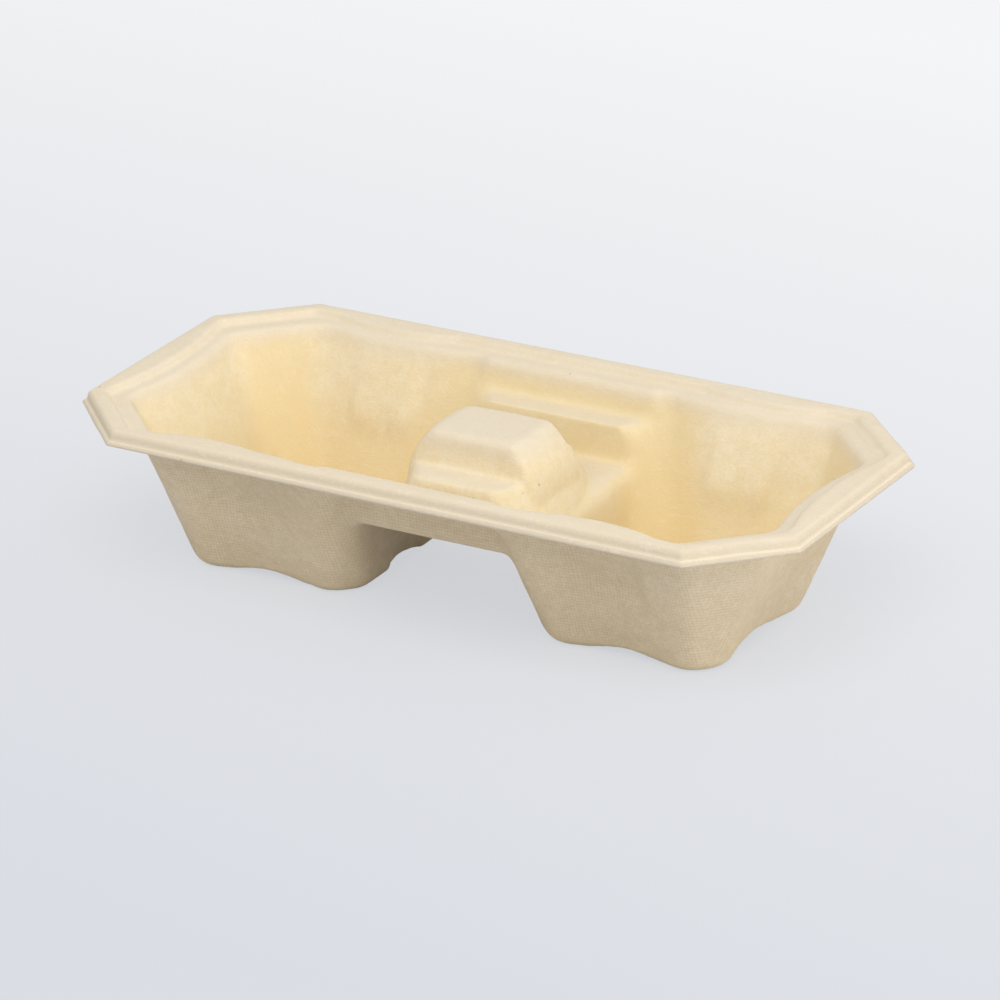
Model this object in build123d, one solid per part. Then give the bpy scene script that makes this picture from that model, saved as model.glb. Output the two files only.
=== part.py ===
from build123d import *
import os

# A two-cup carrier moulded in one piece from paper pulp: an eight-sided rim, two four-lobed cup cells,
# and between them a bridge with a stepped hump.
# X is the length, Y the width, Z is up, and the feet stand on Z = 0.
# Below the rim each outer face follows the inner one at a single wall thickness, as a felted sheet does.

# Whole tray
tray_length = 220.0
tray_width = 110.0
tray_height = 47.0
corner_cut = 22.8
wall = 1.8

# Rim: a flat lip round the outside, a round-topped crown, then a ledge one step down
lip_width = 1.3
lip_thickness = 1.2
crown_height = 4.2
crown_round = 1.7
crown_to_edge = 6.2
crown_slope = 1.0
side_swell = 3.4
side_swell_reach = 19.0
end_swell = 3.2
end_swell_margin = 4.2
ledge_depth = 2.0
side_ledge = 2.6
end_ledge = 3.6
bridge_ledge = 5.4
ledge_round = 2.6

# Cup cells: how far each wall of the cavity leans in from the ledge down to the floor, and corner cuts
end_lean = 18.4
side_lean = 17.1
bridge_lean = 6.6
bridge_half = 22.4
end_corner_cut = 19.5
bridge_corner_cut = 6.0
floor_corner_cut = 8.5
lobe_round_ledge = 7.0
lobe_round_floor = 9.0
lobe_dent_floor = 4.0
floor_round = 5.0

# Arched grooves under the floor that leave four feet at each cell
groove_rise = 2.2
groove_half_width = 12.0

# Bridge: the stepped trough that joins the cells, in depths below the crown
shelf_depth = 10.0
valley_depth = 20.6
trough_lean = 2.0
shelf_width = 7.2
valley_lean = 1.0
trough_round = 2.0
trough_overlap = 8.6
bridge_round = 5.0

# Hump: a plateau on a lower step, domed towards the cells, with flanks that run down into them
plateau_depth = 1.0
plateau_half_x = 13.3
plateau_half_y = 11.0
plateau_bow = 0.6
base_bow = 0.6
plateau_corner = 3.0
shoulder_depth = 5.5
shoulder_half_x = 17.8
dome_half_x = 20.4
dome_half_y = 12.2
dome_bow = 1.8
dome_flare = 1.0
step_depth = 10.6
step_half_x = 18.6
step_half_y = 20.5
step_bow = 6.6
step_corner = 5.0
foot_reach = 1.4
foot_half_y = 22.0
foot_corner = 6.0
base_reach = 3.5
base_half_y = 12.0
hump_round = 2.2
least_round = 0.4

# How far a cutting shape is drawn past the face it cuts
past = 1.0

# Levels and lengths that follow from the sizes above
lip_z = tray_height - crown_height
ledge_z = tray_height - ledge_depth
shelf_z = tray_height - shelf_depth
valley_z = tray_height - valley_depth
plateau_z = tray_height - plateau_depth
shoulder_z = tray_height - shoulder_depth
step_z = tray_height - step_depth
crown_foot = crown_to_edge + crown_slope
cell_end = tray_length / 2 - crown_foot - end_ledge
cell_side = tray_width / 2 - crown_foot - side_ledge
cell_middle = (cell_end + bridge_half) / 2
floor_middle = (cell_end - end_lean + bridge_half + bridge_lean) / 2
swell_middle = (cell_middle + floor_middle) / 2
foot_half_x = bridge_half + foot_reach
base_half_x = bridge_half + bridge_lean + base_reach
trough_half = tray_width / 2 - crown_foot - bridge_ledge - trough_lean
groove_radius = (groove_half_width**2 + groove_rise**2) / (2 * groove_rise)


# A cell's size at height z, which changes evenly from the floor up to the ledge
def rise(floor_value, ledge_value, z):
    return floor_value + (ledge_value - floor_value) * z / ledge_z


# Level outline of one cell: four cut and rounded corners, and walls that dent towards the cup between them
def cell_outline(z, grow):
    far = rise(cell_end - end_lean, cell_end, z) + grow
    near = rise(bridge_half + bridge_lean, bridge_half, z) - grow
    half = rise(cell_side - side_lean, cell_side, z) + grow
    far_cut = rise(floor_corner_cut, end_corner_cut, z)
    near_cut = rise(floor_corner_cut, bridge_corner_cut, z)
    dent = rise(lobe_dent_floor, side_swell, z)
    x1 = near + near_cut
    x2 = far - far_cut
    xm = (x1 + x2) / 2
    y1 = half - near_cut
    y2 = half - far_cut
    line = [
        ThreePointArc((x1, -half), (xm, dent - half), (x2, -half)),
        Line((x2, -half), (far, -y2)),
        ThreePointArc((far, -y2), (far - dent, 0), (far, y2)),
        Line((far, y2), (x2, half)),
        ThreePointArc((x2, half), (xm, half - dent), (x1, half)),
        Line((x1, half), (near, y1)),
        Line((near, y1), (near, -y1)),
        Line((near, -y1), (x1, -half)),
    ]
    face = make_face(line)
    face = fillet(face.vertices(), rise(lobe_round_floor, lobe_round_ledge, z))
    return Plane.XY.offset(z) * face


# One cell and its mirror image, with the floor's edge rounded
def cells(floor, top, grow):
    cell = loft([cell_outline(floor, grow), cell_outline(top, grow)])
    cell = fillet(cell.edges().group_by(Axis.Z)[0], floor_round - wall + grow)
    return cell + mirror(cell, Plane.YZ)


# Trough of the bridge: walls, a shelf, and a valley floor, drawn across and run between the cells
def trough(top, grow):
    half = trough_half + grow
    shelf = trough_half - shelf_width + grow
    valley = shelf - valley_lean
    brim = half + trough_lean * (top - shelf_z) / (ledge_z - shelf_z)
    face = make_face(
        Polyline(
            (-brim, top),
            (-half, shelf_z - grow),
            (-shelf, shelf_z - grow),
            (-valley, valley_z - grow),
            (valley, valley_z - grow),
            (shelf, shelf_z - grow),
            (half, shelf_z - grow),
            (brim, top),
            close=True,
        )
    )
    levels = face.vertices().group_by(Axis.Y)
    outermost = levels[1].sort_by(lambda corner: abs(corner.X))[2:]
    face = fillet(levels[0] + outermost, trough_round + grow)
    return extrude(Plane.YZ * face, amount=bridge_half + trough_overlap, both=True)


# Cells joined by the trough, with the seam between them rounded
def cells_and_trough(floor, top, grow):
    both_cells = cells(floor, top, grow)
    channel = trough(top, grow)
    joined = both_cells + channel
    seam = new_edges(both_cells, channel, combined=joined)
    return fillet(seam, bridge_round - grow)


# Level outline of the hump: straight along its front and back, bowed at its two ends
def hump_outline(z, half_x, half_y, bow, corner):
    end = half_x - bow
    line = [
        Line((-end, -half_y), (end, -half_y)),
        ThreePointArc((end, -half_y), (half_x, 0), (end, half_y)),
        Line((end, half_y), (-end, half_y)),
        ThreePointArc((-end, half_y), (-half_x, 0), (-end, -half_y)),
    ]
    face = make_face(line)
    face = fillet(face.vertices(), corner)
    return Plane.XY.offset(z) * face


# Hump as one solid: its upper face, whose edges are rounded, or with "shrink" set to the wall its underside
def hump(shrink):
    def outline(z, half_x, half_y, bow, corner):
        return hump_outline(z - shrink, half_x - shrink, half_y - shrink, bow, corner)

    plateau = outline(plateau_z, plateau_half_x, plateau_half_y, plateau_bow, plateau_corner)
    shoulder_half_y = (plateau_half_y + dome_half_y) / 2
    shoulder = outline(shoulder_z, shoulder_half_x, shoulder_half_y, dome_bow, plateau_corner)
    dome = outline(step_z, dome_half_x, dome_half_y, dome_bow, plateau_corner)
    step = outline(step_z, step_half_x, step_half_y, step_bow, step_corner)
    foot = outline(valley_z, foot_half_x, foot_half_y, step_bow, foot_corner)
    base = outline(shrink - past, base_half_x, base_half_y, base_bow, foot_corner)
    deep = outline(valley_z, dome_half_x + dome_flare, dome_half_y + dome_flare, dome_bow, plateau_corner)
    upper = loft([deep, dome, shoulder, plateau])
    lower = loft([foot, step])
    if shrink == 0:
        upper = fillet(upper.edges().group_by(Axis.Z)[-1], hump_round)
        lower = fillet(lower.edges().group_by(Axis.Z)[-1], hump_round)
    return upper + lower + loft([base, foot])


# The rim's eight sides, all set in from the tray's edge: half length, half width and corner cut
def rim_sides(inset):
    cut = corner_cut - inset * (2 - 2**0.5)
    return tray_length / 2 - inset, tray_width / 2 - inset, cut


# Eight-sided plate of the rim
def plate(inset, low, high):
    x, y, cut = rim_sides(inset)
    corners = [(x - cut, -y), (x, cut - y), (x, y - cut), (x - cut, y)]
    corners += [(-cx, -cy) for cx, cy in corners]
    face = make_face(Polyline(*corners, close=True))
    return extrude(Plane.XY.offset(low) * face, amount=high - low)


# Inner edge of the crown: the rim's eight sides with a swell at each cell's two sides and at each end
def crown_outline(z, inset):
    x, y, cut = rim_sides(inset)
    a = swell_middle - side_swell_reach
    b = swell_middle + side_swell_reach
    c = x - cut
    d = y - cut
    e = d - end_swell_margin
    line = []
    for s in (1, -1):
        line += [
            Line((-s * a, -s * y), (s * a, -s * y)),
            ThreePointArc((s * a, -s * y), (s * swell_middle, s * (side_swell - y)), (s * b, -s * y)),
            Line((s * b, -s * y), (s * c, -s * y)),
            Line((s * c, -s * y), (s * x, -s * d)),
            Line((s * x, -s * d), (s * x, -s * e)),
            ThreePointArc((s * x, -s * e), (s * (x - end_swell), 0), (s * x, s * e)),
            Line((s * x, s * e), (s * x, s * d)),
            Line((s * x, s * d), (s * c, s * y)),
            Line((s * c, s * y), (s * b, s * y)),
            ThreePointArc((s * b, s * y), (s * swell_middle, s * (y - side_swell)), (s * a, s * y)),
        ]
    return Plane.XY.offset(z) * make_face(line)


# Round bars whose tops arch up through the floor, one along the tray and one across each cell
def grooves(grow):
    disc = Pos(0, groove_rise - groove_radius) * Circle(groove_radius + grow)
    bars = extrude(Plane.YZ * disc, amount=tray_length / 2, both=True)
    for x in (-floor_middle, floor_middle):
        bars += extrude(Plane.XZ * Pos(x, 0) * disc, amount=tray_width / 2, both=True)
    return bars


# Space above the pulp: cells, trough and the recess inside the crown, less the hump and the groove tops.
# The brink is every edge at the ledge's level but the crown's foot, and it is rounded over into the walls.
recess_low = crown_outline(ledge_z, crown_foot)
recess_high = crown_outline(tray_height, crown_to_edge)
recess = loft([recess_low, recess_high])
space = cells_and_trough(wall, ledge_z, 0) + recess
on_ledge = space.edges().filter_by_position(Axis.Z, ledge_z - least_round, ledge_z + least_round)
foot_of_crown = [edge.center() for edge in recess_low.edges()]
brink = [
    edge
    for edge in on_ledge
    if min((edge.center() - spot).length for spot in foot_of_crown) > least_round
]
space = fillet(brink, min(ledge_round, side_ledge))
space = space - grooves(wall) - hump(0)

# Body below it: the same cells and trough grown by the wall, and the rim with its rounded crown
crown = plate(lip_width, lip_z, tray_height)
crown = fillet(crown.edges().group_by(Axis.Z)[-1], crown_round)
body = cells_and_trough(0, lip_z, wall)
body = body - grooves(0)
body = body + plate(0, lip_z, lip_z + lip_thickness) + crown
body = body - hump(wall)

cup_tray = body - space

os.makedirs("parts", exist_ok=True)
export_step(cup_tray, "parts/cup_tray.step")
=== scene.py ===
# %% [markdown]
# # A two-cup carrier of moulded pulp
# The real thing is one sheet of paper pulp. Wet fibre is drawn onto a wire screen in the shape of the tray,
# pressed and dried, so every edge is soft, the wall is even, and the side that lay on the screen keeps its
# faint mesh. The measured solid is loaded first and stays the reference: whatever is modelled here lies on
# its faces.

# %% Load the measured tray
import math

import bmesh
import bpy
from mathutils import Matrix, Vector, noise


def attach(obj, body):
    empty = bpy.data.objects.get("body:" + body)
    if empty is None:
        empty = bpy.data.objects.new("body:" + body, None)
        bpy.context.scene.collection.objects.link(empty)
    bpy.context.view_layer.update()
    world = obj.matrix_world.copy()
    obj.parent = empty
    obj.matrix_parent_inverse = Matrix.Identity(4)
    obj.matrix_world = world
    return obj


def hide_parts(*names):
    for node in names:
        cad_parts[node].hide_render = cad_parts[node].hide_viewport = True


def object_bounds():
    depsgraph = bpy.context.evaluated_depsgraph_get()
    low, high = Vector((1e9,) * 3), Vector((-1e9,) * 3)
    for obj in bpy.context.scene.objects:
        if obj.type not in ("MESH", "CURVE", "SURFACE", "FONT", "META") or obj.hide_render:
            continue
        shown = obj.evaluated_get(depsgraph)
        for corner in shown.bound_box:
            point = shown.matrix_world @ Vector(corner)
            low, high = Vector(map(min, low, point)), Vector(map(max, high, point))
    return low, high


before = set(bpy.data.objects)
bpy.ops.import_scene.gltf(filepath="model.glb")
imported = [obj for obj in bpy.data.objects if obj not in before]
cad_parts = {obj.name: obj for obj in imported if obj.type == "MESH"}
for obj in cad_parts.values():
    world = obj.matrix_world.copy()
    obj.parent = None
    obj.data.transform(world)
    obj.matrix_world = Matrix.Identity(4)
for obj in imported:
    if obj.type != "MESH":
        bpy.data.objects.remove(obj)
cad_low, cad_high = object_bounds()
MM = 0.001
print("measured tray, mm:", [round(c / MM, 1) for c in cad_high - cad_low])

# %% [markdown]
# ## The view
# A long lens from the front right, looking down at 23 degrees. The aim, the distance and the small roll
# come from laying the rim's eight straight edges over the same edges in the photograph, so the tray fills
# the frame as it does there. The lens is given for a 36 mm sensor, and the picture is square.

# %% Camera
VIEW_AZIMUTH = math.radians(30.45)
VIEW_ELEVATION = math.radians(23.01)
VIEW_ROLL = math.radians(-1.05)
VIEW_DISTANCE = 1.7093
VIEW_AIM = Vector((-0.0023, 0.0075, 0.0207))
LENS = 228.1
SENSOR = 36.0


def add_camera():
    turn = Matrix.Rotation(VIEW_AZIMUTH, 4, "Z")
    tilt = Matrix.Rotation(math.pi / 2 - VIEW_ELEVATION, 4, "X")
    roll = Matrix.Rotation(VIEW_ROLL, 4, "Z")
    facing = turn @ tilt @ roll
    lens = bpy.data.cameras.new("view")
    lens.lens = LENS
    lens.sensor_width = SENSOR
    camera = bpy.data.objects.new("view", lens)
    back = facing.to_3x3() @ Vector((0, 0, VIEW_DISTANCE))
    camera.matrix_world = Matrix.Translation(VIEW_AIM + back) @ facing
    bpy.context.scene.collection.objects.link(camera)
    bpy.context.scene.camera = camera
    return camera


camera = add_camera()
print("camera at", [round(c, 3) for c in camera.location])

# %% [markdown]
# ## Floor
# The tray stands on a plain pale floor that grows lighter towards the back. Where the camera sees the floor
# or its reflection, most of its colour is its own and doesn't depend on the lamps, so the background is
# pale while no more light falls on the tray. The rest is lit as paper is, and keeps the tray's soft shadow.

# %% Floor
FLOOR_SIZE = 6.0
FLOOR_COLOUR = (0.70, 0.72, 0.76, 1.0)
GLOW_NEAR = (0.67, 0.69, 0.74, 1.0)
GLOW_FAR = (1.0, 1.0, 1.0, 1.0)
GLOW_SHARE = 0.75
GLOW_START = -0.22
GLOW_END = 0.45
PAPER_ROUGHNESS = 0.8


def seen_directly(tree):
    path = tree.nodes.new("ShaderNodeLightPath")
    seen = path.outputs["Is Camera Ray"]
    for ray in ("Is Glossy Ray", "Is Transmission Ray"):
        either = tree.nodes.new("ShaderNodeMath")
        either.operation = "MAXIMUM"
        tree.links.new(seen, either.inputs[0])
        tree.links.new(path.outputs[ray], either.inputs[1])
        seen = either.outputs["Value"]
    return seen


def floor_paper():
    paint = bpy.data.materials.new("floor_paper")
    paint.use_nodes = True
    tree = paint.node_tree
    shader = tree.nodes["Principled BSDF"]
    shader.inputs["Base Color"].default_value = FLOOR_COLOUR
    shader.inputs["Roughness"].default_value = PAPER_ROUGHNESS
    place = tree.nodes.new("ShaderNodeTexCoord")
    split = tree.nodes.new("ShaderNodeSeparateXYZ")
    tree.links.new(place.outputs["Object"], split.inputs["Vector"])
    reach = tree.nodes.new("ShaderNodeMapRange")
    reach.inputs["From Min"].default_value = GLOW_START
    reach.inputs["From Max"].default_value = GLOW_END
    tree.links.new(split.outputs["Y"], reach.inputs["Value"])
    shade = tree.nodes.new("ShaderNodeMix")
    shade.data_type = "RGBA"
    shade.inputs["A"].default_value = GLOW_NEAR
    shade.inputs["B"].default_value = GLOW_FAR
    tree.links.new(reach.outputs["Result"], shade.inputs["Factor"])
    glow = tree.nodes.new("ShaderNodeEmission")
    tree.links.new(shade.outputs["Result"], glow.inputs["Color"])
    share = tree.nodes.new("ShaderNodeMath")
    share.operation = "MULTIPLY"
    share.inputs[1].default_value = GLOW_SHARE
    tree.links.new(seen_directly(tree), share.inputs[0])
    mix = tree.nodes.new("ShaderNodeMixShader")
    tree.links.new(share.outputs["Value"], mix.inputs["Fac"])
    tree.links.new(shader.outputs["BSDF"], mix.inputs[1])
    tree.links.new(glow.outputs["Emission"], mix.inputs[2])
    tree.links.new(mix.outputs["Shader"], tree.nodes["Material Output"].inputs["Surface"])
    return paint


def add_floor():
    shape = bmesh.new()
    bmesh.ops.create_grid(shape, x_segments=1, y_segments=1, size=FLOOR_SIZE / 2)
    mesh = bpy.data.meshes.new("floor")
    shape.to_mesh(mesh)
    shape.free()
    floor = bpy.data.objects.new("floor", mesh)
    bpy.context.scene.collection.objects.link(floor)
    mesh.materials.append(floor_paper())


add_floor()
print("floor:", FLOOR_SIZE, "m wide")

# %% [markdown]
# ## Light
# Pulp shows its form only in soft light. One wide lamp hangs above the front, so the insides of the cells
# are nearly as bright as the rim, and the front walls, which lean in under it, lie in shade. A low lamp at
# the right lights the end, and a pale sky and the floor fill the rest. The view transform is the plain one,
# so a colour renders about as it is written.

# %% Lamps and sky
SKY_COLOUR = (0.95, 0.97, 1.0)
SKY_STRENGTH = 0.68
OVERHEAD_WARMTH = (1.0, 0.98, 0.95)
FILL_WARMTH = (1.0, 0.99, 0.97)


def add_lamp(name, place, size, watts, colour):
    light = bpy.data.lights.new(name, "AREA")
    light.shape = "DISK"
    light.size = size
    light.energy = watts
    light.color = colour
    lamp = bpy.data.objects.new(name, light)
    lamp.location = place
    lamp.rotation_euler = (VIEW_AIM - Vector(place)).to_track_quat("-Z", "Y").to_euler()
    bpy.context.scene.collection.objects.link(lamp)
    print(name, watts, "W,", size, "m across")


add_lamp("overhead softbox", place=(0.30, -0.72, 1.10), size=1.1, watts=8.9, colour=OVERHEAD_WARMTH)
add_lamp("right fill", place=(1.3, 0.12, 0.30), size=0.8, watts=6.0, colour=FILL_WARMTH)

world = bpy.data.worlds.new("studio")
bpy.context.scene.world = world
world.use_nodes = True
sky = world.node_tree.nodes["Background"]
sky.inputs["Color"].default_value = (*SKY_COLOUR, 1.0)
sky.inputs["Strength"].default_value = SKY_STRENGTH
bpy.context.scene.view_settings.view_transform = "Standard"

# %% [markdown]
# ## The pulp body
# The tray is one sheet with the same wall everywhere. The measured solid has that wall, but its edges are
# crisp where two faces meet, and wet fibre can't follow such an edge. So the piece starts as a copy of the
# solid, welded into one closed skin: nothing is modelled anew that the solid already gives right.

# %% Weld a copy of the solid
WELD_DISTANCE = 0.001 * MM


def welded_copy(node, name):
    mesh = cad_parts[node].data.copy()
    shape = bmesh.new()
    shape.from_mesh(mesh)
    bmesh.ops.remove_doubles(shape, verts=shape.verts, dist=WELD_DISTANCE)
    loose = [edge for edge in shape.edges if not edge.is_manifold]
    shape.to_mesh(mesh)
    shape.free()
    mesh.materials.clear()
    piece = bpy.data.objects.new(name, mesh)
    bpy.context.scene.collection.objects.link(piece)
    print(name, "welded:", len(mesh.vertices), "points,", len(loose), "open edges")
    return piece


pulp_tray = welded_copy("cup_tray", "pulp_tray")

# %% [markdown]
# ## Even cells
# The welded skin has long thin triangles along its fillets, which would dent when they are smoothed. A
# voxel remesh covers it in small cells of one size, about a third of the wall, so smoothing works alike in
# every place.

# %% Remesh it in even cells
VOXEL = 0.52 * MM


def apply_modifiers(piece):
    graph = bpy.context.evaluated_depsgraph_get()
    shaped = bpy.data.meshes.new_from_object(piece.evaluated_get(graph))
    piece.modifiers.clear()
    piece.data = shaped


remesh = pulp_tray.modifiers.new("even cells", "REMESH")
remesh.mode = "VOXEL"
remesh.voxel_size = VOXEL
apply_modifiers(pulp_tray)
print("remeshed:", len(pulp_tray.data.polygons), "faces")

# %% [markdown]
# ## Soft edges, and a crisp lip
# The lip round the rim is trimmed and pressed flat, so it keeps a thin crisp line while the rest goes soft.
# The smoothing therefore reads a vertex group: full weight everywhere, and little within a few millimetres
# of the tray's outline. How far a point lies inside that eight-sided outline is the least of its distances
# from the ends, the sides and the corner cuts. A second helper eases from 0 to 1, so no weight ends in a
# step.

# %% Distance in from the outline
HALF_LENGTH = cad_high.x
HALF_WIDTH = cad_high.y
CORNER_CUT = 22.8 * MM
LIP_REACH = 2.4 * MM
LIP_FADE = 1.2 * MM
LIP_WEIGHT = 0.16


def inside_outline(point):
    x = abs(point.x)
    y = abs(point.y)
    corner = (HALF_LENGTH + HALF_WIDTH - CORNER_CUT - x - y) / math.sqrt(2)
    return min(HALF_LENGTH - x, HALF_WIDTH - y, corner)


def ease(value, low, high):
    t = max(0.0, min(1.0, (value - low) / (high - low)))
    return t * t * (3 - 2 * t)


# %% [markdown]
# ## Broad bends in the cells, and a soft hump
# The forming tool is drafted and rounded so that the sheet lets go of it: in the cells the walls run into
# each other in wide bends, wider than the edges of the rim, and the hump's top is dulled. Two more groups
# mark those places. The walls of the cells count from just above the feet up to below the rim, with the
# pillars at the bridge, so the feet and the rim keep their form.

# %% Where the walls bend broadly
WALL_LOW = 6 * MM
WALL_HIGH = 41 * MM
WALL_FADE = 5 * MM
CELL_START = 31 * MM
PILLAR_START_X = 20 * MM
PILLAR_START_Y = 18 * MM
HUMP_END_X = 22 * MM
HUMP_END_Y = 13 * MM
HUMP_LOW = 37 * MM


def on_cell_wall(point):
    x = abs(point.x)
    y = abs(point.y)
    above_feet = ease(point.z, WALL_LOW, WALL_LOW + WALL_FADE)
    below_rim = 1 - ease(point.z, WALL_HIGH - WALL_FADE, WALL_HIGH)
    in_cell = ease(x, CELL_START, CELL_START + WALL_FADE)
    by_bridge = ease(x, PILLAR_START_X, PILLAR_START_X + WALL_FADE)
    pillar = by_bridge * ease(y, PILLAR_START_Y, PILLAR_START_Y + WALL_FADE)
    return above_feet * below_rim * max(in_cell, pillar)


def on_hump(point):
    x = 1 - ease(abs(point.x), HUMP_END_X - WALL_FADE, HUMP_END_X)
    y = 1 - ease(abs(point.y), HUMP_END_Y, HUMP_END_Y + WALL_FADE)
    return x * y * ease(point.z, HUMP_LOW, HUMP_LOW + WALL_FADE)


# %% Vertex groups for the smoothing
soft_group = pulp_tray.vertex_groups.new(name="soft")
wall_group = pulp_tray.vertex_groups.new(name="cell walls")
hump_group = pulp_tray.vertex_groups.new(name="hump")
for point in pulp_tray.data.vertices:
    share = ease(inside_outline(point.co), LIP_REACH, LIP_REACH + LIP_FADE)
    soft_group.add([point.index], LIP_WEIGHT + (1 - LIP_WEIGHT) * share, "REPLACE")
    wall_group.add([point.index], on_cell_wall(point.co), "REPLACE")
    hump_group.add([point.index], on_hump(point.co), "REPLACE")
print("lip kept crisp to", LIP_REACH / MM, "mm in")

# %% [markdown]
# ## Smoothing
# Each group has its own number of rounds. A round moves a point half way to the mean of its neighbours, so
# 14 rounds round an edge by about the wall's own thickness, and ten times as many bend a whole corner. The
# flat walls hardly move, so the sizes hold. Then the mesh is thinned, most where the skin is flat.

# %% Smooth, and thin out the mesh
SMOOTH_SHARE = 0.5
EDGE_ROUNDS = 14
WALL_ROUNDS = 150
HUMP_ROUNDS = 35
FACE_LIMIT = 190000

for name, rounds, group in (
    ("soft edges", EDGE_ROUNDS, "soft"),
    ("broad corners", WALL_ROUNDS, "cell walls"),
    ("soft hump", HUMP_ROUNDS, "hump"),
):
    smooth = pulp_tray.modifiers.new(name, "SMOOTH")
    smooth.factor = SMOOTH_SHARE
    smooth.iterations = rounds
    smooth.vertex_group = group
apply_modifiers(pulp_tray)
thin = pulp_tray.modifiers.new("fewer faces", "DECIMATE")
thin.ratio = min(1.0, FACE_LIMIT / (2 * len(pulp_tray.data.polygons)))
apply_modifiers(pulp_tray)
print("softened:", len(pulp_tray.data.polygons), "faces")

# %% [markdown]
# ## Tongues and slight waves
# In the middle of each long wall of a cell the sheet bulges towards the cup in a pale tongue that starts
# under the rim, is fullest a little above half way, and is gone before the floor. Both skins move together
# across the tray, so the wall keeps its thickness. A felted sheet is also never quite flat, since it
# shrinks unevenly as it dries: each point moves along its normal by a smooth noise of up to about 0.3 mm,
# which bends the highlights. Nothing may sink below the floor, so the feet stay flat.

# %% Tongues and waves
WAVE_HEIGHT = 0.25 * MM
WAVE_SPAN = 17.0 * MM
RIPPLE_HEIGHT = 0.07 * MM
RIPPLE_SPAN = 4.0 * MM
TONGUE_DEPTH = 2.0 * MM
TONGUE_MIDDLE = 57.9 * MM
TONGUE_TOP = 44 * MM
TONGUE_DROP = 17 * MM
TONGUE_END = 27 * MM
BRIDGE_SIDE = (-15 * MM, -9 * MM)
END_SIDE = (5 * MM, 10 * MM)
SIDE_WALLS = 18 * MM


def wave(place):
    broad = noise.noise(place / WAVE_SPAN) * WAVE_HEIGHT
    fine = noise.noise(place / RIPPLE_SPAN) * RIPPLE_HEIGHT
    return broad + fine


def tongue(place):
    if abs(place.y) < SIDE_WALLS or place.z > TONGUE_TOP:
        return Vector()
    along = abs(place.x) - TONGUE_MIDDLE
    across = ease(along, *BRIDGE_SIDE) * (1 - ease(along, *END_SIDE))
    drop = TONGUE_TOP - place.z
    down = min(1.0, drop / TONGUE_DROP) * (1 - ease(drop, TONGUE_DROP, TONGUE_END))
    return Vector((0, -math.copysign(TONGUE_DEPTH * across * down, place.y), 0))


# All places are worked out before any point moves, so that no normal changes on the way
points = pulp_tray.data.vertices
places = [point.co + point.normal * wave(point.co) + tongue(point.co) for point in points]
for point, place in zip(points, places):
    point.co = (place.x, place.y, max(0.0, place.z))
for face in pulp_tray.data.polygons:
    face.use_smooth = True
print("tallest point, mm:", round(max(place.z for place in places) / MM, 2))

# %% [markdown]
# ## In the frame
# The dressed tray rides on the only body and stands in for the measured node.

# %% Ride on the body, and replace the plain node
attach(pulp_tray, "root")
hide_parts("cup_tray")

# %% [markdown]
# ## Corners of the cells
# The four corners of each cell get painted shade and bounce light, a deeper gold than the walls between.
# A point counts as in a corner when it lies about as far along the cell as across it, both in shares of the
# cell's half length and half width, and far enough from the cell's middle.

# %% Share of a corner
CELL_MIDDLE = 60.7 * MM
CELL_HALF_LENGTH = 38.3 * MM
CELL_HALF_WIDTH = 45.2 * MM
CORNER_SHARE = (0.42, 0.80)
CORNER_REACH = (0.45, 0.70)
CORNER_TOP = (41 * MM, 44.5 * MM)


def in_corner(place):
    u = abs(abs(place.x) - CELL_MIDDLE) / CELL_HALF_LENGTH
    v = abs(place.y) / CELL_HALF_WIDTH
    widest = max(u, v)
    corner = ease(min(u, v) / widest, *CORNER_SHARE) * ease(widest, *CORNER_REACH)
    return corner * (1 - ease(place.z, *CORNER_TOP))


# %% [markdown]
# ## Where each part of the finish lies
# Every wall of the tray is drafted so that it comes off its mould, so the felt side always faces a little
# up and the screen side a little down. The slope of each point is therefore enough to tell the two apart.
# The wires of the screen show only along the faces that they ran across, so each of the three directions
# has its own share. The lip has a pressed edge, with painted shade in the crease inside it, the level tops
# get painted shade against the light from above, and the corners of the cells painted shade and bounce
# light. Each of these is kept as an attribute on the mesh, and the material reads them.

# %% Attributes on the mesh
SCREEN_FACING = (-0.02, 0.12)
EDGE_REACH = 0.9 * MM
CREASE_IN = (0.9 * MM, 1.3 * MM)
CREASE_OUT = (1.5 * MM, 2.8 * MM)
CREASE_LOW = 43 * MM
TOP_FACING = (0.75, 0.95)
TOP_LOW = (18 * MM, 24 * MM)
WIRE_FACING = (0.4, 0.8)


def keep_on_points(name, kind, field, values):
    layer = pulp_tray.data.attributes.new(name, kind, "POINT")
    layer.data.foreach_set(field, values)


screen_side_and_shade = []
pressed_edge = []
rim_crease_shade = []
level_top_shade = []
cell_corner_shade = []
wire_lay = []
for point in pulp_tray.data.vertices:
    facing_down = ease(-point.normal.z, *SCREEN_FACING)
    inset = inside_outline(point.co)
    at_edge = 1 - ease(inset, EDGE_REACH / 2, EDGE_REACH)
    on_top = (1 - facing_down) * (point.co.z > CREASE_LOW)
    # The downward faces are the screen side; their colour is partly its own tone, partly painted shade
    screen_side_and_shade.append(facing_down * (1 - at_edge))
    pressed_edge.append(at_edge)
    # Painted shade in the crease between the lip and the crown
    rim_crease_shade.append(on_top * ease(inset, *CREASE_IN) * (1 - ease(inset, *CREASE_OUT)))
    # Painted shade on the level tops, which face up into the light from above
    level_top_shade.append(ease(point.normal.z, *TOP_FACING) * ease(point.co.z, *TOP_LOW))
    # Painted shade and bounce light in the corners of the cells
    cell_corner_shade.append((1 - facing_down) * in_corner(point.co))
    wire_lay += [facing_down * (1 - ease(abs(part), *WIRE_FACING)) for part in point.normal]
keep_on_points("screen_side_and_shade", "FLOAT", "value", screen_side_and_shade)
keep_on_points("pressed_edge", "FLOAT", "value", pressed_edge)
keep_on_points("rim_crease_shade", "FLOAT", "value", rim_crease_shade)
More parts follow.
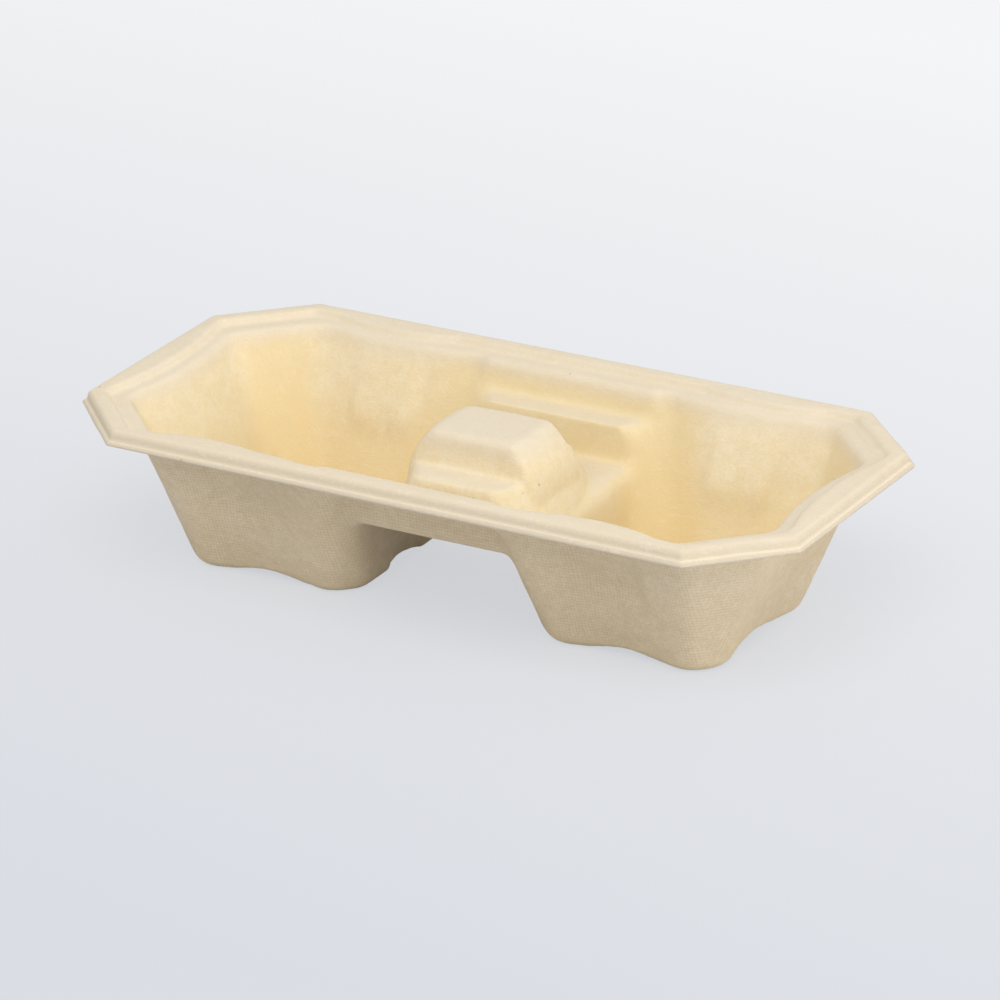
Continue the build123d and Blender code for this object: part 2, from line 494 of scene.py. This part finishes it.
keep_on_points("level_top_shade", "FLOAT", "value", level_top_shade)
keep_on_points("cell_corner_shade", "FLOAT", "value", cell_corner_shade)
keep_on_points("wire_lay", "FLOAT_VECTOR", "vector", wire_lay)
print("points on the screen side:", sum(share > 0.5 for share in screen_side_and_shade), "of", len(screen_side_and_shade))

# %% [markdown]
# ## Small helpers for the material
# Dried pulp is matt, cream to straw in colour, and never quite even. Its look is built from layers of noise
# on Object coordinates, so it stays put on the tray. Each helper adds one kind of node and hands on its
# output, and the layers then read like a recipe.

# %% Helpers for nodes
NOISE_ROUGHNESS = 0.55


def add_node(tree, kind, **inputs):
    new = tree.nodes.new(kind)
    for name, value in inputs.items():
        new.inputs[name.replace("_", " ")].default_value = value
    return new


def kept_share(tree, name, output="Fac"):
    reader = tree.nodes.new("ShaderNodeAttribute")
    reader.attribute_name = name
    return reader.outputs[output]


def noise_layer(tree, place, span, detail=3.0):
    layer = add_node(tree, "ShaderNodeTexNoise", Scale=1 / span, Detail=detail, Roughness=NOISE_ROUGHNESS)
    tree.links.new(place, layer.inputs["Vector"])
    return layer.outputs["Fac"]


def stretch(tree, value, low, high, new_low=0.0, new_high=1.0):
    ranged = add_node(tree, "ShaderNodeMapRange")
    ranged.interpolation_type = "SMOOTHSTEP"
    for socket, number in zip(ranged.inputs[1:5], (low, high, new_low, new_high)):
        socket.default_value = number
    tree.links.new(value, ranged.inputs["Value"])
    return ranged.outputs["Result"]


def combine(tree, operation, *values):
    joint = tree.nodes.new("ShaderNodeMath")
    joint.operation = operation
    for socket, value in zip(joint.inputs, values):
        if isinstance(value, (int, float)):
            socket.default_value = value
        else:
            tree.links.new(value, socket)
    return joint.outputs["Value"]


def tint(tree, share, first, second):
    mix = tree.nodes.new("ShaderNodeMix")
    mix.data_type = "RGBA"
    tree.links.new(share, mix.inputs["Factor"])
    for socket, colour in ((mix.inputs["A"], first), (mix.inputs["B"], second)):
        if isinstance(colour, tuple):
            socket.default_value = (*colour, 1.0)
        else:
            tree.links.new(colour, socket)
    return mix.outputs["Result"]


# %% [markdown]
# ## Fibres
# Single fibres lie in all directions in the sheet and show as short pale hairs. Noise that is stretched
# long in one direction looks like hairs once only its crests are kept. Four such layers, each turned
# another way, are laid over one another, and a broad noise bends them so that none is straight.

# %% Fibres
FIBRE_LENGTH = 5.0 * MM
FIBRE_WIDTH = 0.45 * MM
FIBRE_TURNS = ((0.3, 0.2, 0.4), (0.5, 1.3, 0.2), (0.2, 0.4, 1.5), (1.1, 0.3, 2.3))
FIBRE_CREST = (0.58, 0.72)


def fibres(tree, place):
    bend = add_node(tree, "ShaderNodeTexNoise", Scale=1 / FIBRE_LENGTH, Detail=0.0)
    tree.links.new(place, bend.inputs["Vector"])
    curl = tree.nodes.new("ShaderNodeVectorMath")
    curl.operation = "MULTIPLY_ADD"
    curl.inputs[1].default_value = (FIBRE_LENGTH, FIBRE_LENGTH, FIBRE_LENGTH)
    tree.links.new(bend.outputs["Color"], curl.inputs[0])
    tree.links.new(place, curl.inputs[2])
    strongest = None
    for turn in FIBRE_TURNS:
        lay = add_node(tree, "ShaderNodeMapping", Rotation=turn)
        lay.inputs["Scale"].default_value = (1 / FIBRE_LENGTH, 1 / FIBRE_WIDTH, 1 / FIBRE_WIDTH)
        tree.links.new(curl.outputs["Vector"], lay.inputs["Vector"])
        strands = stretch(tree, noise_layer(tree, lay.outputs["Vector"], 1.0, detail=1.0), *FIBRE_CREST)
        strongest = combine(tree, "MAXIMUM", strongest, strands) if strongest else strands
    return strongest


# %% [markdown]
# ## Specks
# Recycled pulp holds a few darker specks of bark or print. A Voronoi texture gives one centre in each cell
# of space. The distance from it makes a round dot, and the cell's own random colour chooses which cells
# have one.

# %% Specks
SPECK_SPAN = 9.0 * MM
SPECK_EDGE = (0.035, 0.06)
SPECK_CHOICE = (0.55, 0.6)


def specks(tree, place):
    cells = add_node(tree, "ShaderNodeTexVoronoi", Scale=1 / SPECK_SPAN)
    tree.links.new(place, cells.inputs["Vector"])
    spot = stretch(tree, cells.outputs["Distance"], *SPECK_EDGE, 1.0, 0.0)
    chosen = stretch(tree, cells.outputs["Color"], *SPECK_CHOICE)
    return combine(tree, "MULTIPLY", spot, chosen)


# %% [markdown]
# ## The screen's mesh
# The screen is woven of fine wires about a millimetre apart, and its side of the sheet keeps their print.
# Waves along X, Y and Z give ribs in three directions. A face shows only the ribs that run across it, so
# each set counts by the share that was kept on the mesh. A wave texture repeats 20 / (2 pi) times a unit at
# scale 1, which gives the scale for a pitch.

# %% The screen's mesh
MESH_PITCH = 0.95 * MM
MESH_SCALE = 2 * math.pi / (20 * MESH_PITCH)
MESH_WAVER = 0.5
MESH_SHARE = 0.5


def screen_mesh(tree, place):
    share = tree.nodes.new("ShaderNodeSeparateXYZ")
    tree.links.new(kept_share(tree, "wire_lay", "Vector"), share.inputs["Vector"])
    total = None
    for direction in ("X", "Y", "Z"):
        wires = add_node(tree, "ShaderNodeTexWave", Scale=MESH_SCALE, Distortion=MESH_WAVER)
        wires.bands_direction = direction
        tree.links.new(place, wires.inputs["Vector"])
        ribs = combine(tree, "MULTIPLY", wires.outputs["Fac"], share.outputs[direction])
        total = combine(tree, "ADD", total, ribs) if total else ribs
    return combine(tree, "MULTIPLY", total, MESH_SHARE)


# %% [markdown]
# ## Unevenness
# Three sizes of noise make the sheet uneven: cloudy patches a few centimetres wide, where the fibre settled
# thicker, flocs of a few millimetres, where fibres clumped, and a grain finer than a millimetre. Their sum
# says how far the colour goes from pale to straw, and the two finer ones raise the surface too.

# %% Clouds, flocs and grain
CLOUD_SPAN = 34 * MM
FLOC_SPAN = 3.2 * MM
GRAIN_SPAN = 0.9 * MM
CLOUD_RANGE = (0.35, 0.65)
FLOC_RANGE = (0.3, 0.7)
GRAIN_RANGE = (0.3, 0.7)
CLOUD_SHARE = 0.4
FLOC_SHARE = 0.4
GRAIN_SHARE = 0.42


def unevenness(tree, place, flocs, grain):
    clouds = noise_layer(tree, place, CLOUD_SPAN, detail=2.0)
    broad = stretch(tree, clouds, *CLOUD_RANGE, 0.0, CLOUD_SHARE)
    clumps = stretch(tree, flocs, *FLOC_RANGE, 0.0, FLOC_SHARE)
    grains = stretch(tree, grain, *GRAIN_RANGE, 0.0, GRAIN_SHARE)
    return combine(tree, "ADD", broad, combine(tree, "ADD", clumps, grains))


# %% [markdown]
# ## Colour of the felt side
# The felt side is cream to straw. On the rim and the level tops it gets painted shade, darker and greyer,
# against the light from above. Towards the floor and in the corners it goes over to a deeper straw, painted
# shade and bounce light in the cells. Height and the kept shares set how far.

# %% Felt side
PALE = (0.860, 0.765, 0.580)
STRAW = (0.800, 0.670, 0.425)
# Painted shade and bounce light: deeper straw towards the floor of the cells
POCKET_SHADE_STRAW = (0.810, 0.655, 0.370)
POCKET_SHADE_LEVELS = (10 * MM, 38 * MM)
POCKET_SHADE_SHARE = 0.7
# Share of painted shade and bounce light in the corners
CORNER_SHADE_SHARE = 0.66
# Painted shade for the rim and the level tops, darker and greyer against the light from above
RIM_TOP_SHADE = (0.750, 0.648, 0.505)
RIM_SHADE_LEVELS = (39 * MM, 45 * MM)
RIM_SHADE_SHARE = 0.7
TOP_SHADE_SHARE = 0.55


def felt_colour(tree, height, patch):
    # Painted shade and bounce light, deeper towards the floor
    low = stretch(tree, height, *POCKET_SHADE_LEVELS, POCKET_SHADE_SHARE, 0.0)
    # Painted shade and bounce light in the corners
    corner = combine(tree, "MULTIPLY", kept_share(tree, "cell_corner_shade"), CORNER_SHADE_SHARE)
    cell_shade = combine(tree, "ADD", low, corner)
    colour = tint(tree, cell_shade, tint(tree, patch, PALE, STRAW), POCKET_SHADE_STRAW)
    # Painted shade on the rim and the level tops
    level = combine(tree, "MULTIPLY", kept_share(tree, "level_top_shade"), TOP_SHADE_SHARE)
    high = stretch(tree, height, *RIM_SHADE_LEVELS, 0.0, RIM_SHADE_SHARE)
    return tint(tree, combine(tree, "MAXIMUM", high, level), colour, RIM_TOP_SHADE)


# %% [markdown]
# ## Colour of the screen side
# The side that lay on the screen faces a little down. It is greyer and duller: partly its own tone, partly
# painted shade on the faces that turn down. Near the feet it has a golden painted glow, standing for light
# thrown up from the floor. The wires' print darkens it in a faint lattice.

# %% Screen side
# Screen side colours: partly its own greyer tone, partly painted shade on the downward faces
SCREEN_SHADED_PALE = (0.780, 0.655, 0.475)
SCREEN_SHADED_DARK = (0.620, 0.495, 0.320)
SCREEN_UNEVEN = 0.6
# Painted glow near the feet, standing for light thrown up from the floor
FOOT_PAINTED_GLOW = (0.850, 0.730, 0.450)
FOOT_GLOW_LEVELS = (0.0, 7 * MM)
FOOT_GLOW_SHARE = 0.3


def screen_colour_and_shade(tree, height, patch, wires):
    uneven = combine(tree, "MULTIPLY", combine(tree, "ADD", patch, wires), SCREEN_UNEVEN)
    # Painted glow, golden towards the feet
    foot_glow = stretch(tree, height, *FOOT_GLOW_LEVELS, FOOT_GLOW_SHARE, 0.0)
    return tint(tree, foot_glow, tint(tree, uneven, SCREEN_SHADED_PALE, SCREEN_SHADED_DARK), FOOT_PAINTED_GLOW)


# %% [markdown]
# ## The pulp
# Both sides meet in one material. The painted shade in the lip's crease and the pressed edge lie over
# them, then the fibres and the specks. Pulp hardly shines: it is rough everywhere, most of all on the
# flocs, and reflects little. The same layers raise the surface by some hundredths of a millimetre, which
# only a bump can show at this scale.

# %% Pulp material
# Painted shade for the crease inside the lip
CREASE_SHADE_COLOUR = (0.52, 0.43, 0.305)
CREASE_SHADE_DEPTH = 0.42
EDGE_COLOUR = (0.64, 0.55, 0.42)
FIBRE_COLOUR = (0.88, 0.80, 0.64)
FIBRE_SHARE = 0.22
SPECK_COLOUR = (0.52, 0.39, 0.23)
SPECK_SHARE = 0.6
ROUGHNESS = (0.82, 0.95)
SHINE = 0.25
FINE_STEP = 0.06 * MM
RAISED = {"flocs": 1.2, "grain": 0.5, "strands": 0.5, "wires": 0.9}


def pulp_material():
    material = bpy.data.materials.new("pulp")
    material.use_nodes = True
    tree = material.node_tree
    shader = tree.nodes["Principled BSDF"]
    place = tree.nodes.new("ShaderNodeTexCoord").outputs["Object"]
    split = tree.nodes.new("ShaderNodeSeparateXYZ")
    tree.links.new(place, split.inputs["Vector"])
    height = split.outputs["Z"]
    layers = {
        "flocs": noise_layer(tree, place, FLOC_SPAN),
        "grain": noise_layer(tree, place, GRAIN_SPAN, detail=1.0),
        "strands": fibres(tree, place),
        "wires": screen_mesh(tree, place),
    }
    patch = unevenness(tree, place, layers["flocs"], layers["grain"])

    felt = felt_colour(tree, height, patch)
    screen = screen_colour_and_shade(tree, height, patch, layers["wires"])
    # The screen side: partly its own tone, partly painted shade on the downward faces
    colour = tint(tree, kept_share(tree, "screen_side_and_shade"), felt, screen)
    # Painted shade darkens the crease inside the lip
    crease = combine(tree, "MULTIPLY", kept_share(tree, "rim_crease_shade"), CREASE_SHADE_DEPTH)
    colour = tint(tree, crease, colour, CREASE_SHADE_COLOUR)
    colour = tint(tree, kept_share(tree, "pressed_edge"), colour, EDGE_COLOUR)
    colour = tint(tree, combine(tree, "MULTIPLY", layers["strands"], FIBRE_SHARE), colour, FIBRE_COLOUR)
    colour = tint(tree, combine(tree, "MULTIPLY", specks(tree, place), SPECK_SHARE), colour, SPECK_COLOUR)
    tree.links.new(colour, shader.inputs["Base Color"])
    matt = stretch(tree, layers["flocs"], *FLOC_RANGE, *ROUGHNESS)
    tree.links.new(matt, shader.inputs["Roughness"])
    shader.inputs["Specular IOR Level"].default_value = SHINE

    relief = 0.0
    for name, raised in RAISED.items():
        relief = combine(tree, "ADD", combine(tree, "MULTIPLY", layers[name], raised), relief)
    bump = add_node(tree, "ShaderNodeBump", Distance=FINE_STEP)
    tree.links.new(relief, bump.inputs["Height"])
    tree.links.new(bump.outputs["Normal"], shader.inputs["Normal"])
    return material


pulp_tray.data.materials.append(pulp_material())
print("pulp:", len(pulp_tray.data.materials[0].node_tree.nodes), "nodes")
